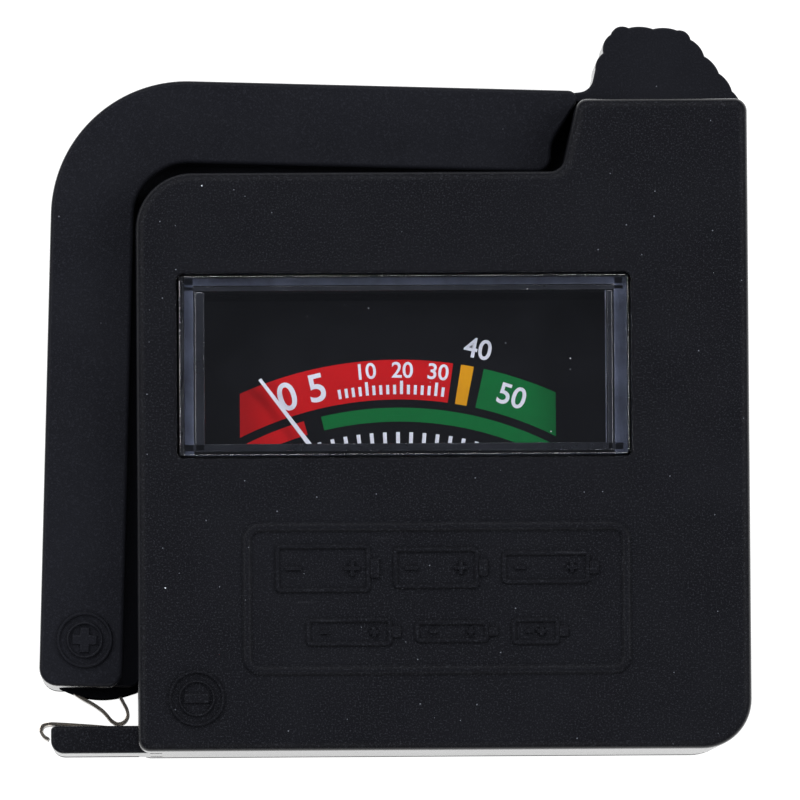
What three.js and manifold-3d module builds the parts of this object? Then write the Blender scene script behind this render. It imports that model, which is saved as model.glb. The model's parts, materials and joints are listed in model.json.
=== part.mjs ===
// A pocket battery tester: a flat case with a small moving-coil meter, and a sprung jaw on its left
// that swings open about a pin in the case's top right corner to take a cell.
import * as THREE from "three";
import { mergeVertices } from "three/addons/utils/BufferGeometryUtils.js";
import Module from "manifold-3d";

const wasm = await Module();
wasm.setup();

// Driving dimensions in millimetres. The tester lies on its back: X to the right, Y to the top, Z out
// of the front. Case dimensions start at the case's lower left corner, heights at its back face.
const CASE_WIDTH = 52;
const CASE_HEIGHT = 49.1;
const BUMP_TOP = 55.25;
const CASE_DEPTH = 24.5;
const PARTING = 12.1;
const PLATE = 1.8;
const WALL = 1.6;
const EDGE_RADIUS = 0.8;
const FIT = 0.3;

// The jaw runs in a slot between the two covers.
const SLOT_BACK = 7.1;
const SLOT_FRONT = 16.9;
const CHAMBER_LEFT = 2;
const CHAMBER_TOP = 45.1;
const LIP = { length: 7.45, height: 2.35, back: 5, front: 19, slot: 0.45 };

const PIVOT = { x: 43.9, y: 50 };
const PIN_RADIUS = 1.5;
const REST_OPENING = THREE.MathUtils.degToRad(1.7);

// The jaw's own dimensions start at its pivot, with the jaw square to the case.
const JAW = { left: -51, right: -43.9, top: 6.1, underside: -0.95, bottom: -45.75, corner: 11.6 };
const JAW_EDGE = 0.4;
const JAW_RAISED = { back: 3.7, front: 20.3 };
const JAW_CORE = { back: 7.5, front: 16.5, reach: 1.5, underside: -3.9 };
const JAW_WALL = 1.4;
const HUB_RADIUS = 4.6;
const JAW_SWEEP_RADIUS = 8.45;
const SPRING_POCKET = { radius: 4.8, floor: 13 };
const TAB = { footLeft: -4.9, topLeft: -3.4, topRight: 2.7, footRight: 7.75, top: 11.65, knurl: 0.5 };

const WINDOW = { left: 3.6, right: 41.8, bottom: 25, top: 40.3, front: CASE_DEPTH + 0.3 };
const METER_COVER = { bottom: 6.2, back: 16.6, front: 20, wall: 1.4 };
const METER = { x: 22.3, y: 16.2 };
const METER_BASE = { left: 4.2, right: 41.2, bottom: 7, top: 38, back: 3.4, front: 16.3, wall: 1.4 };
const DIAL = { back: 16.6, front: 16.9, left: 5.3, right: 40.1, bottom: 21.5, top: 38.6 };
const NEEDLE_REST = THREE.MathUtils.degToRad(37);
const NEEDLE_LENGTH = 19.6;

const RIDGE = 0.3;
const LABEL = { left: 8.8, right: 41.9, bottom: 6.3, top: 19.4, width: 0.9, corner: 1.6 };
// The cells that the tester takes, from the largest to the smallest.
const CELL_MARKS = [
  { left: 11.6, middle: 15.4, length: 8.2, width: 4.2 },
  { left: 21.6, middle: 15.4, length: 7.4, width: 3.6 },
  { left: 30.8, middle: 15.4, length: 7.6, width: 2.9 },
  { left: 14.2, middle: 10, length: 7.4, width: 2.5 },
  { left: 23.4, middle: 10, length: 6.4, width: 2 },
  { left: 31.6, middle: 10, length: 4.2, width: 2.4 },
];
const MARK = { inner: 1.6, outer: 2.4, bar: 1.1, barWidth: 0.4 };
const MINUS_MARK = { x: 4.97, y: 4.47 };
const PLUS_MARK = { x: -47.2, y: -41.8 };

const CASE_SCREWS = [
  { x: 8, y: 42.2, bossRadius: 1.65 },
  { x: 48.5, y: 39.2, bossRadius: 2.2 },
  { x: 12, y: 3.8, bossRadius: 1.9 },
  { x: 45.5, y: 3.8, bossRadius: 1.9 },
];
const SCREW = { head: 1.6, headHeight: 1, shank: 0.8, pilot: 0.95, hole: 1.1, well: 1.8 };
const CASE_SCREW_SEAT = 7;
const WELL_RADIUS = 2.3;
const ARM_SCREWS = [
  { x: -47.4, y: -20 },
  { x: -25, y: 2.4 },
];
const ARM_SCREW_SEAT = 6.5;

const BOARD = { left: 43, right: 49.7, bottom: 8, top: 35, back: 3.4, front: 4.6 };
const LOAD_RESISTORS = [
  { x: 46.5, y: 15.5 },
  { x: 45.2, y: 24.6 },
  { x: 48.1, y: 26.8 },
];
const RESISTOR = { height: 6.4, length: 6.4 };
const SNAP_PITCH = 12.7;
const SNAP_FIRST = 12;

const CURVE_STEPS = 3;
const ROUND_SIDES = 28;

const black = { color: 0x1d1e22, roughness: 0.62, metalness: 0 };
const jawBlack = { color: 0x1b1c21, roughness: 0.5, metalness: 0 };
const clear = { color: 0xc8d0e0, roughness: 0.08, metalness: 0, transparent: true, opacity: 0.3 };
const darkMoulding = { color: 0x24252a, roughness: 0.6, metalness: 0 };
const printed = { color: 0x111114, roughness: 0.5, metalness: 0 };
const white = { color: 0xe8e8ee, roughness: 0.45, metalness: 0 };
const steel = { color: 0x9a9ca0, roughness: 0.35, metalness: 1 };
const nickel = { color: 0xb9b6ae, roughness: 0.25, metalness: 1 };
const brass = { color: 0xb08d4a, roughness: 0.35, metalness: 1 };
const iron = { color: 0x55565a, roughness: 0.6, metalness: 1 };
const copper = { color: 0xa8552c, roughness: 0.4, metalness: 1 };
const laminate = { color: 0x8a6a35, roughness: 0.7, metalness: 0 };
const resistorBody = { color: 0xc9b48a, roughness: 0.6, metalness: 0 };
const redWire = { color: 0xa81f1c, roughness: 0.5, metalness: 0 };
const blackWire = { color: 0x1a1a1c, roughness: 0.5, metalness: 0 };

// Geometry helpers.

// A closed outline through corners given as [x, y, radius].
function outline(corners) {
  const shape = new THREE.Shape();
  corners.forEach(([x, y, radius = 0], i) => {
    const corner = new THREE.Vector2(x, y);
    const before = new THREE.Vector2(...corners.at(i - 1).slice(0, 2));
    const after = new THREE.Vector2(...corners[(i + 1) % corners.length].slice(0, 2));
    const arriving = corner.clone().sub(before).normalize();
    const leaving = after.sub(corner).normalize();
    const side = Math.sign(arriving.cross(leaving));
    const turn = Math.acos(THREE.MathUtils.clamp(arriving.dot(leaving), -1, 1));
    const start = corner.clone().addScaledVector(arriving, -radius * Math.tan(turn / 2));
    if (i === 0) shape.moveTo(start.x, start.y);
    else shape.lineTo(start.x, start.y);
    if (radius === 0) return;
    const towardsCentre = new THREE.Vector2(-arriving.y, arriving.x).multiplyScalar(side * radius);
    const centre = start.clone().add(towardsCentre);
    const from = Math.atan2(-towardsCentre.y, -towardsCentre.x);
    shape.absarc(centre.x, centre.y, radius, from, from + side * turn, side < 0);
  });
  shape.closePath();
  return shape;
}

function rectangle(left, bottom, right, top, radius = 0) {
  return outline([
    [left, bottom, radius],
    [right, bottom, radius],
    [right, top, radius],
    [left, top, radius],
  ]);
}

// A solid with the given outline from back to front, and edges rounded by edge.
function slab(shape, back, front, edge = 0) {
  const geometry = new THREE.ExtrudeGeometry(shape, {
    depth: front - back - 2 * edge,
    curveSegments: CURVE_STEPS,
    bevelEnabled: edge > 0,
    bevelSize: edge,
    bevelOffset: -edge,
    bevelThickness: edge,
    bevelSegments: 2,
  });
  return solid(geometry.translate(0, 0, back + edge));
}

function block(left, bottom, back, right, top, front) {
  const geometry = new THREE.BoxGeometry(right - left, top - bottom, front - back);
  geometry.translate((left + right) / 2, (bottom + top) / 2, (back + front) / 2);
  return solid(geometry);
}

// A cylinder standing along Z.
function post(x, y, radius, back, front, sides = ROUND_SIDES) {
  const geometry = new THREE.CylinderGeometry(radius, radius, front - back, sides);
  geometry.rotateX(Math.PI / 2);
  return solid(geometry.translate(x, y, (back + front) / 2));
}

// A body turned about Z, from a profile of [radius, height] pairs.
function turned(profile, x = 0, y = 0, sides = 16) {
  const points = profile.map(([radius, height]) => new THREE.Vector2(radius, height));
  const geometry = new THREE.LatheGeometry(points, sides);
  geometry.rotateX(Math.PI / 2);
  return solid(geometry.translate(x, y, 0));
}

// A section swept along a smooth curve through points.
function swept(section, points, steps) {
  const path = new THREE.CatmullRomCurve3(points.map((p) => new THREE.Vector3(...p)));
  return solid(new THREE.ExtrudeGeometry(section, { steps, extrudePath: path, curveSegments: 2 }));
}

function wire(radius, points, steps) {
  const section = new THREE.Shape().absarc(0, 0, radius, 0, 2 * Math.PI);
  return swept(section, points, steps);
}

// A strip of even thickness along a bent centre line in the XY plane, from back to front.
function strip(line, thickness, back, front) {
  const centre = line.map(([x, y]) => new THREE.Vector2(x, y));
  const sides = centre.map((point, i) => {
    const before = centre[Math.max(i - 1, 0)];
    const after = centre[Math.min(i + 1, centre.length - 1)];
    const along = after.clone().sub(before).normalize();
    return new THREE.Vector2(-along.y, along.x).multiplyScalar(thickness / 2);
  });
  const upper = centre.map((point, i) => point.clone().add(sides[i]));
  const lower = centre.map((point, i) => point.clone().sub(sides[i])).reverse();
  return slab(new THREE.Shape([...upper, ...lower]), back, front);
}

function solid(geometry) {
  geometry.deleteAttribute("normal");
  geometry.deleteAttribute("uv");
  const merged = mergeVertices(geometry, 1e-4);
  return new wasm.Manifold(
    new wasm.Mesh({
      numProp: 3,
      vertProperties: merged.attributes.position.array,
      triVerts: new Uint32Array(merged.index.array),
    }),
  );
}

function join(first, ...others) {
  return others.reduce((whole, other) => whole.add(other), first);
}

function cut(whole, ...tools) {
  return tools.reduce((rest, tool) => rest.subtract(tool), whole);
}

function mesh(name, body, look) {
  const data = body.getMesh();
  const geometry = new THREE.BufferGeometry();
  geometry.setAttribute("position", new THREE.BufferAttribute(data.vertProperties, 3));
  geometry.setIndex(new THREE.BufferAttribute(data.triVerts, 1));
  geometry.computeVertexNormals();
  const made = new THREE.Mesh(geometry, new THREE.MeshStandardMaterial(look));
  made.name = name;
  return made;
}

// Outlines of the case and the jaw, drawn in by inset.

function caseOutline(inset) {
  const slantFoot = 36.2 + inset;
  const slantTop = 37.6 + inset;
  return outline([
    [inset, inset, Math.max(1 - inset, 0)],
    [CASE_WIDTH - inset, inset, 4.2 - inset],
    [CASE_WIDTH - inset, BUMP_TOP - inset, Math.max(1.1 - inset, 0)],
    [slantTop, BUMP_TOP - inset, Math.max(1 - inset, 0)],
    [slantFoot, CASE_HEIGHT - inset, 1.3],
    [inset, CASE_HEIGHT - inset, 4.8 - inset],
  ]);
}

function chamberOutline(inset) {
  return outline([
    [CHAMBER_LEFT + inset, inset],
    [CASE_WIDTH - inset, inset, 4.2 - inset],
    [CASE_WIDTH - inset, CHAMBER_TOP - inset],
    [CHAMBER_LEFT + inset, CHAMBER_TOP - inset, 3 - inset],
  ]);
}

function jawRaisedOutline(inset) {
  const end = -Math.sqrt(JAW_SWEEP_RADIUS ** 2 - (JAW.top - inset) ** 2) - inset;
  return outline([
    [JAW.left + inset, JAW.bottom + inset, 1.4 - inset / 2],
    [JAW.right - inset, JAW.bottom + inset, 1.2 - inset / 2],
    [JAW.right - inset, JAW.underside + inset, 4.6 + inset],
    [-JAW_SWEEP_RADIUS - inset, JAW.underside + inset, 1.2 - inset / 2],
    [-JAW_SWEEP_RADIUS - inset, JAW.underside + 2.4 + inset, 3],
    [end, JAW.top - inset, 0.7],
    [JAW.left + inset, JAW.top - inset, JAW.corner - inset],
  ]);
}

function jawCoreOutline(inset) {
  const left = JAW.left + 0.5 + inset;
  const right = JAW.right + JAW_CORE.reach - inset;
  return outline([
    [left, JAW.bottom + 0.3 + inset, 1.2],
    [-45.8, JAW.bottom - 1.3 + inset, 7 - 4 * inset],
    [right, JAW.bottom + 0.1 + inset, 1],
    [right, JAW_CORE.underside + inset, 3.2 + inset],
    [-HUB_RADIUS - inset, JAW_CORE.underside + inset],
    [-HUB_RADIUS - inset, JAW.top - 0.4 - inset],
    [left, JAW.top - 0.4 - inset, JAW.corner - 0.5 - inset],
  ]);
}

// Raised marks.

function ringMark(x, y, back, front) {
  return cut(post(x, y, MARK.outer, back, front), post(x, y, MARK.inner, back - 1, front + 1));
}

function barMark(x, y, length, width, back, front) {
  return block(x - length, y - width, back, x + length, y + width, front);
}

function labelFrame(back, front) {
  const { left, right, bottom, top, width, corner } = LABEL;
  const inner = rectangle(left + width, bottom + width, right - width, top - width, corner - width);
  return cut(slab(rectangle(left, bottom, right, top, corner), back, front), slab(inner, 0, front + 1));
}

// A cell lying on its side, with its end button and its two signs.
function cellMark({ left, middle, length, width }, back, front) {
  const right = left + length;
  const half = width / 2;
  const line = 0.45;
  const button = width * 0.2;
  const sign = width * 0.16;
  const stroke = 0.16;
  const can = slab(rectangle(left, middle - half, right, middle + half, 0.4), back, front);
  const hollow = rectangle(left + line, middle - half + line, right - line, middle + half - line);
  return [
    cut(can, slab(hollow, back - 1, front + 1)),
    block(right - 0.1, middle - button, back, right + 0.7, middle + button, front),
    barMark(left + 1.6, middle, sign, stroke, back, front),
    barMark(right - 1.6, middle, sign, stroke, back, front),
    barMark(right - 1.6, middle, stroke, sign, back, front),
  ];
}

// Case.

function lip(back, front) {
  const shape = outline([
    [-LIP.length, 0, 0.85],
    [CHAMBER_LEFT + WALL, 0],
    [CHAMBER_LEFT + WALL, LIP.height],
    [-LIP.length, LIP.height, 0.4],
  ]);
  return slab(shape, back, front);
}

function snapContactSlots() {
  return [0, 1].map((i) => {
    const y = SNAP_FIRST + i * SNAP_PITCH;
    const face = block(51.1, y - 2.6, PARTING - 2.2, 53, y + 2.6, PARTING + 2.2);
    return join(face, block(48, y - 1.2, PARTING - 0.7, 52, y + 1.2, PARTING + 0.7));
  });
}

function minusContactSlot() {
  const floor = LIP.height - LIP.slot;
  return block(-LIP.length - 1, floor, PARTING - 3.3, 6, LIP.height + 0.7, PARTING + 3.3);
}

function frontCover() {
  const back = SLOT_FRONT;
  const shell = cut(
    slab(caseOutline(0), back - 3, CASE_DEPTH, EDGE_RADIUS),
    slab(caseOutline(WALL), back - 4, CASE_DEPTH - PLATE),
    block(-10, -1, 0, 60, 60, back),
  );
  const chamber = cut(
    slab(chamberOutline(0), PARTING + 0.1, CASE_DEPTH - PLATE + 0.1),
    slab(chamberOutline(WALL - 0.2), 0, CASE_DEPTH - PLATE),
  );
  const bosses = CASE_SCREWS.map(({ x, y, bossRadius }) =>
    post(x, y, bossRadius, PARTING + 0.1, CASE_DEPTH - PLATE + 0.1, 20),
  );
  const pilots = CASE_SCREWS.map(({ x, y }) => post(x, y, SCREW.pilot, PARTING - 1, 21, 16));
  const pivotBoss = post(PIVOT.x, PIVOT.y, 2.2, SPRING_POCKET.floor + 0.4, CASE_DEPTH - PLATE + 0.1);
  const front = CASE_DEPTH + RIDGE;
  const sunk = CASE_DEPTH - 0.2;
  const window = slab(
    rectangle(WINDOW.left - 0.2, WINDOW.bottom - 0.2, WINDOW.right + 0.2, WINDOW.top + 0.2, 0.7),
    CASE_DEPTH - PLATE - 1,
    CASE_DEPTH + 1,
  );
  const sill = block(0, 2.9, PARTING + 0.1, WALL, 3.7, SLOT_FRONT + 0.1);
  const whole = join(
    shell,
    chamber,
    ...bosses,
    pivotBoss,
    sill,
    lip(PARTING + 0.1, LIP.front),
    labelFrame(sunk, front),
    ...CELL_MARKS.flatMap((cell) => cellMark(cell, sunk, front)),
    ringMark(MINUS_MARK.x, MINUS_MARK.y, sunk, front),
    barMark(MINUS_MARK.x, MINUS_MARK.y, MARK.bar, MARK.barWidth, sunk, front),
  );
  const springGap = block(45.6, CHAMBER_TOP - 2, PARTING, 47.9, CHAMBER_TOP + 1, SLOT_FRONT);
  return cut(
    whole,
    ...pilots,
    window,
    post(PIVOT.x, PIVOT.y, PIN_RADIUS + 0.1, 0, 22.3),
    ...snapContactSlots(),
    minusContactSlot(),
    springGap,
  );
}

function backCover() {
  const shell = cut(
    slab(caseOutline(0), 0, SLOT_BACK + 3, EDGE_RADIUS),
    slab(caseOutline(WALL), PLATE, SLOT_BACK + 4),
    block(-10, -1, SLOT_BACK, 60, 60, 30),
  );
  const chamber = cut(
    slab(chamberOutline(0), PLATE - 0.1, PARTING - 0.1),
    slab(chamberOutline(WALL - 0.2), PLATE, 30),
  );
  const bosses = CASE_SCREWS.map(({ x, y }) => post(x, y, WELL_RADIUS, PLATE - 0.1, PARTING - 0.1, 20));
  const wells = CASE_SCREWS.map(({ x, y }) => post(x, y, SCREW.well, -1, CASE_SCREW_SEAT, 20));
  const holes = CASE_SCREWS.map(({ x, y }) => post(x, y, SCREW.hole, 0, PARTING + 1, 16));
  const boardPosts = [12, 31].map((y) => post(44.5, y, 0.9, PLATE - 0.1, BOARD.back - 0.1, 16));
  const whole = join(
    shell,
    chamber,
    ...bosses,
    ...boardPosts,
    post(PIVOT.x, PIVOT.y, 3.2, PLATE - 0.1, SLOT_BACK),
    block(0, 2.9, SLOT_BACK - 0.1, WALL, 3.7, PARTING - 0.1),
    lip(LIP.back, PARTING - 0.1),
  );
  return cut(
    whole,
    ...wells,
    ...holes,
    post(PIVOT.x, PIVOT.y, PIN_RADIUS + 0.1, 2.4, 30),
    ...snapContactSlots(),
    minusContactSlot(),
  );
}

function screw(x, y, seat, length) {
  const bottom = seat - SCREW.headHeight;
  return turned(
    [
      [0, bottom + 0.5],
      [0.5, bottom + 0.5],
      [0.5, bottom],
      [SCREW.head - 0.3, bottom],
      [SCREW.head, bottom + 0.4],
      [SCREW.head, seat],
      [SCREW.shank, seat],
      [SCREW.shank, seat + length - 1],
      [0, seat + length],
    ],
    x,
    y,
    12,
  );
}

function minusContact() {
  const over = LIP.height - 0.15;
  const line = [
    [-7.7, 1.35],
    [-8.08, 1.6],
    [-8.36, 2.05],
    [-8.2, over + 0.28],
    [-7.65, over + 0.45],
    [-6.6, over + 0.42],
    [-4, over + 0.24],
    [-1.6, over + 0.06],
    [3, over],
    [5.2, over],
    [5.75, over + 0.5],
    [5.8, 5],
  ];
  return strip(line, 0.25, PARTING - 2.8, PARTING + 2.8);
}

function snapContact(index) {
  const y = SNAP_FIRST + index * SNAP_PITCH;
  const face = block(51.2, y - 2.3, PARTING - 1.9, 51.9, y + 2.3, PARTING + 1.9);
  const stem = block(48.7, y - 0.9, PARTING - 0.3, 51.3, y + 0.9, PARTING + 0.3);
  return join(face, stem, block(48.6, y - 0.9, BOARD.front + FIT, 49.1, y + 0.9, PARTING + 0.3));
}

// Jaw.

function tab() {
  const { footLeft, footRight, topLeft, topRight, top, knurl } = TAB;
  const shape = outline([
    [-HUB_RADIUS, 0.5],
    [HUB_RADIUS, 0.5],
    [footRight, 5, 0.5],
    [topRight, top, 0.6],
    [topLeft, top, 0.5],
    [footLeft, JAW.top, 1.4],
    [-7.4, JAW.top],
    [-7.4, 4],
  ]);
  const runs = [
    { from: [footLeft + 0.45, 7.9], to: [topLeft + 0.15, top - 0.2], count: 3 },
    { from: [topLeft + 0.35, top - 0.1], to: [topRight - 0.1, top - 0.1], count: 4 },
    { from: [topRight + 0.75, top - 1.35], to: [footRight - 0.5, 5.85], count: 4 },
  ];
  const knurls = runs.flatMap(({ from, to, count }) =>
    Array.from({ length: count }, (unused, i) => {
      const share = i / (count - 1);
      const x = THREE.MathUtils.lerp(from[0], to[0], share);
      const y = THREE.MathUtils.lerp(from[1], to[1], share);
      return post(x, y, knurl, JAW_CORE.back, JAW_CORE.front, 10);
    }),
  );
  return join(slab(shape, JAW_CORE.back, JAW_CORE.front), ...knurls);
}

function jawBody() {
  const coreHollow = cut(
    slab(jawCoreOutline(JAW_WALL), JAW_CORE.back + 1.3, JAW_CORE.front - 1.3),
    block(-8, -10, 0, 10, 10, 30),
  );
  const raisedHollow = slab(jawRaisedOutline(JAW_WALL), JAW_RAISED.back + 1.4, JAW_RAISED.front - 1.4);
  const contactMouth = block(-48.8, -48, PARTING - 2.4, -43.1, -43.5, PARTING + 2.4);
  const shell = cut(
    join(
      slab(jawRaisedOutline(0), JAW_RAISED.back, JAW_RAISED.front, JAW_EDGE),
      slab(jawCoreOutline(0), JAW_CORE.back, JAW_CORE.front),
      post(0, 0, HUB_RADIUS, JAW_CORE.back, JAW_CORE.front),
      tab(),
    ),
    coreHollow,
    raisedHollow,
    contactMouth,
    post(0, 0, PIN_RADIUS + 0.08, 0, 30),
    post(0, 0, SPRING_POCKET.radius, SPRING_POCKET.floor, 30),
    block(-9, 2.1, SPRING_POCKET.floor, -3, 3.6, SPRING_POCKET.floor + 1.6),
  );
  const bosses = ARM_SCREWS.map(({ x, y }) => post(x, y, 2, JAW_RAISED.back + 1, JAW_RAISED.front - 1, 20));
  return join(shell, ...bosses);
}

function armFrontShell(body) {
  const front = cut(body, block(-60, -60, 0, 20, 20, PARTING + 0.1));
  const pilots = ARM_SCREWS.map(({ x, y }) => post(x, y, SCREW.pilot, 10, 18, 16));
  const top = JAW_RAISED.front + RIDGE;
  const sunk = JAW_RAISED.front - 0.2;
  const { x, y } = PLUS_MARK;
  const marks = [
    ringMark(x, y, sunk, top),
    barMark(x, y, MARK.bar, MARK.barWidth, sunk, top),
    barMark(x, y, MARK.barWidth, MARK.bar, sunk, top),
  ];
  return join(cut(front, ...pilots), ...marks);
}

function armBackShell(body) {
  const back = cut(body, block(-60, -60, PARTING - 0.1, 20, 20, 40));
  const wells = ARM_SCREWS.map(({ x, y }) => post(x, y, SCREW.well, 0, ARM_SCREW_SEAT, 20));
  const holes = ARM_SCREWS.map(({ x, y }) => post(x, y, SCREW.hole, 0, 14, 16));
  return cut(back, ...wells, ...holes);
}

function plusContact() {
  const line = [
    [-47.2, -41.9],
    [-48.1, -43],
    [-48.3, -45.1],
    [-48.1, -46],
    [-47.45, -46.5],
    [-46.45, -47.03],
    [-45.65, -47.55],
    [-45.2, -47.98],
    [-44.8, -48.42],
    [-44.25, -48.69],
    [-43.7, -48.5],
    [-43.42, -47.98],
    [-43.52, -47.4],
    [-43.85, -46.8],
    [-44.15, -46.1],
    [-44.2, -43.2],
  ];
  return strip(line, 0.25, PARTING - 2, PARTING + 2);
}

function returnSpring() {
  const radius = 2.85;
  const bottom = 13.5;
  const pitch = 0.62;
  const turns = 3.25;
  const coil = Array.from({ length: 40 }, (unused, i) => {
    const turn = (i / 39) * turns;
    const angle = Math.PI / 2 - turn * 2 * Math.PI;
    return [radius * Math.cos(angle), radius * Math.sin(angle), bottom + turn * pitch];
  });
  const legInJaw = [
    [-8.4, radius, bottom],
    [-4, radius, bottom],
    [-1.5, radius, bottom],
  ];
  const top = bottom + turns * pitch;
  const legInCase = [
    [radius, -1.5, top],
    [radius, -4, top],
    [radius, -7.6, top],
  ];
  return wire(0.25, [...legInJaw, ...coil, ...legInCase], 84);
}

function armLead() {
  const points = [
    [-46.6, -41.2, 12],
    [-45.2, -38.6, 12],
    [-44.7, -34, 12],
    [-44.6, -20, 12],
    [-44.5, -8, 12],
    [-43.2, -3, 12],
    [-38, -1.2, 12],
    [-25, -1.1, 12],
    [-12, -0.8, 12],
    [-9.6, 0.8, 12],
    [-9.2, 2.2, 12.4],
  ];
  return wire(0.45, points, 26);
}

// Meter.

function windowLens() {
  const { left, right, bottom, top, front } = WINDOW;
  const { wall, back } = METER_COVER;
  const boxWall = slab(rectangle(left, bottom, right, top, 0.5), back, front);
  const skirt = slab(rectangle(left, METER_COVER.bottom, right, top, 0.5), back, METER_COVER.front);
  const boxHollow = block(left + wall, bottom + wall, 0, right - wall, top - wall, front - 1.3);
  const skirtHollow = block(
    left + wall,
    METER_COVER.bottom + wall,
    0,
    right - wall,
    top - wall,
    METER_COVER.front - 1.2,
  );
  return cut(join(boxWall, skirt), boxHollow, skirtHollow);
}

function meterBase() {
  const { left, right, bottom, top, back, front, wall } = METER_BASE;
  const floor = back + 1.2;
  const hollow = block(left + wall, bottom + wall, floor, right - wall, top - wall, front + 1);
  const pads = [30, 150, 270].map((degrees) => {
    const angle = THREE.MathUtils.degToRad(degrees);
    const x = METER.x + 7.2 * Math.cos(angle);
    const y = METER.y + 7.2 * Math.sin(angle);
    return post(x, y, 0.7, floor - 0.1, 6.9, 12);
  });
  const slots = [11, 16].map((y) => block(right - wall - 1, y - 1, 7.4, right + 1, y + 1, 8.5));
  const shell = cut(slab(rectangle(left, bottom, right, top, 0.8), back, front), hollow);
  return cut(join(shell, ...pads), post(METER.x, METER.y, 1.1, 0, floor + 1, 20), ...slots);
}

function meterTerminal(y) {
  const tongue = block(38.6, y - 0.8, 7.7, 44.2, y + 0.8, 8.2);
  return join(tongue, block(43.7, y - 0.8, BOARD.front + FIT, 44.2, y + 0.8, 8.2));
}

function dialPlate() {
  const plate = block(DIAL.left, DIAL.bottom, DIAL.back, DIAL.right, DIAL.top, DIAL.front);
  return cut(plate, post(METER.x, METER.y, 7.5, DIAL.back - 1, DIAL.front + 1));
}

function poleRing() {
  return cut(post(METER.x, METER.y, 7.7, 7, 13.8), post(METER.x, METER.y, 6.7, 6, 15));
}

function coreMagnet() {
  const core = post(METER.x, METER.y, 4.7, 7.3, 13.5);
  return join(core, block(METER.x - 1.2, METER.y - 6.5, 9, METER.x + 1.2, METER.y + 6.5, 11.8));
}

function frontBridge() {
  const bar = block(METER.x - 7.7, METER.y - 1.5, 16.2, METER.x + 7.7, METER.y + 1.5, 17.2);
  const legs = [-1, 1].map((side) => {
    const middle = METER.x + side * 7.2;
    return block(middle - 0.5, METER.y - 1.5, 13.9, middle + 0.5, METER.y + 1.5, 16.3);
  });
  return cut(join(bar, ...legs), post(METER.x, METER.y, 1, 16, 18, 16));
}

function jewelScrewFront() {
  const profile = [
    [0, 16.5],
    [0.5, 16.1],
    [0.9, 16.1],
    [0.9, 17.5],
    [0, 17.5],
  ];
  return turned(profile, METER.x, METER.y);
}

function jewelScrewRear() {
  const profile = [
    [0, 2.9],
    [1, 2.9],
    [1, 5.2],
    [0.5, 5.2],
    [0, 4.8],
  ];
  return turned(profile, METER.x, METER.y);
}

// The next pieces turn with the needle, so their own axis is the meter's.

function coilLoop(outer, inner, back, front, thickness, halfWidth) {
  return cut(
    block(-outer, -halfWidth, back, outer, halfWidth, front),
    block(-inner, -5, back + thickness, inner, 5, front - thickness),
  );
}

function shaft(base, tip, radius) {
  const direction = Math.sign(tip - base);
  const profile = [
    [0, base],
    [1, base],
    [1, base + 0.2 * direction],
    [radius, base + 0.2 * direction],
    [radius, tip - 0.35 * direction],
    [0, tip],
  ];
  return turned(direction > 0 ? profile : profile.reverse());
}

function hairspring(middle) {
  const turns = 3.5;
  const inner = 0.6;
  const pitch = 0.55;
  const height = 0.2;
  const count = 40;
  const line = Array.from({ length: count }, (unused, i) => {
    const turn = (i / (count - 1)) * turns;
    const radius = inner + turn * pitch;
    const angle = turn * 2 * Math.PI;
    return [radius * Math.cos(angle), radius * Math.sin(angle)];
  });
  return strip(line, 0.12, middle - height / 2, middle + height / 2);
}

function needle() {
  const low = 15.6;
  const high = 18.15;
  const half = 0.15;
  const rise = 4.2;
  const width = 0.22;
  const side = new THREE.Shape(
    [
      [-3.6, low - half],
      [rise + 0.2, low - half],
      [rise + 0.5, high - half],
      [NEEDLE_LENGTH, high - half],
      [NEEDLE_LENGTH, high + half],
      [rise + 0.2, high + half],
      [rise - 0.1, low + half],
      [-3.6, low + half],
    ].map(([along, height]) => new THREE.Vector2(along, height)),
  );
  const blade = new THREE.ExtrudeGeometry(side, { depth: 2 * width, bevelEnabled: false });
  blade.translate(0, 0, -width);
  blade.rotateX(Math.PI / 2);
  blade.rotateZ(Math.PI / 2);
  const hub = post(0, 0, 1.3, low - half, low + half, 20);
  const weight = post(0, -3.8, 0.8, low - half, low + half, 16);
  return cut(join(solid(blade), hub, weight), post(0, 0, 0.42, 15, 16.2, 16));
}

// Electrics.

function circuitBoard() {
  return block(BOARD.left, BOARD.bottom, BOARD.back, BOARD.right, BOARD.top, BOARD.front);
}

function loadResistor() {
  const { height, length } = RESISTOR;
  const profile = [
    [0, 0],
    [0.9, 0],
    [1.15, 0.4],
    [1.15, 1.2],
    [0.95, 1.6],
    [0.95, length - 1.6],
    [1.15, length - 1.2],
    [1.15, length - 0.4],
    [0.9, length],
    [0, length],
  ];
  const points = profile.map(([radius, along]) => new THREE.Vector2(radius, along));
  const foot = BOARD.front + FIT - height;
  return join(
    solid(new THREE.LatheGeometry(points, 10)),
    block(-0.25, -1, -0.25, 0.25, 0.5, 0.25),
    block(-0.25, length - 0.5, -0.25, 0.25, length + 1, 0.25),
    block(-0.25, -1, foot, 0.25, -0.5, 0.25),
    block(-0.25, length + 0.5, foot, 0.25, length + 1, 0.25),
  );
}

function leadPlus() {
  const points = [
    [46.75, 41.9, 15.2],
    [46, 41.7, 12.5],
    [44.6, 41.2, 9],
    [43.6, 38.5, 6.6],
    [43.8, 35.8, 5.6],
    [44.4, 33.8, 5.45],
  ];
  return wire(0.45, points, 12);
}

function leadMinus() {
  const points = [
    [5.8, 5.7, 10.5],
    [5.3, 5.9, 7.5],
    [5.4, 6, 4.2],
    [6.2, 6.3, 2.75],
    [9, 7.6, 2.5],
    [14, 8.8, 2.5],
    [30, 8.6, 2.5],
    [40, 7.2, 2.5],
    [41.9, 6.6, 3.4],
    [42.3, 6.9, 5],
    [43.2, 8.2, 5.6],
    [44.4, 9.2, 5.45],
  ];
  return wire(0.4, points, 22);
}

// Assembly.

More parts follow.
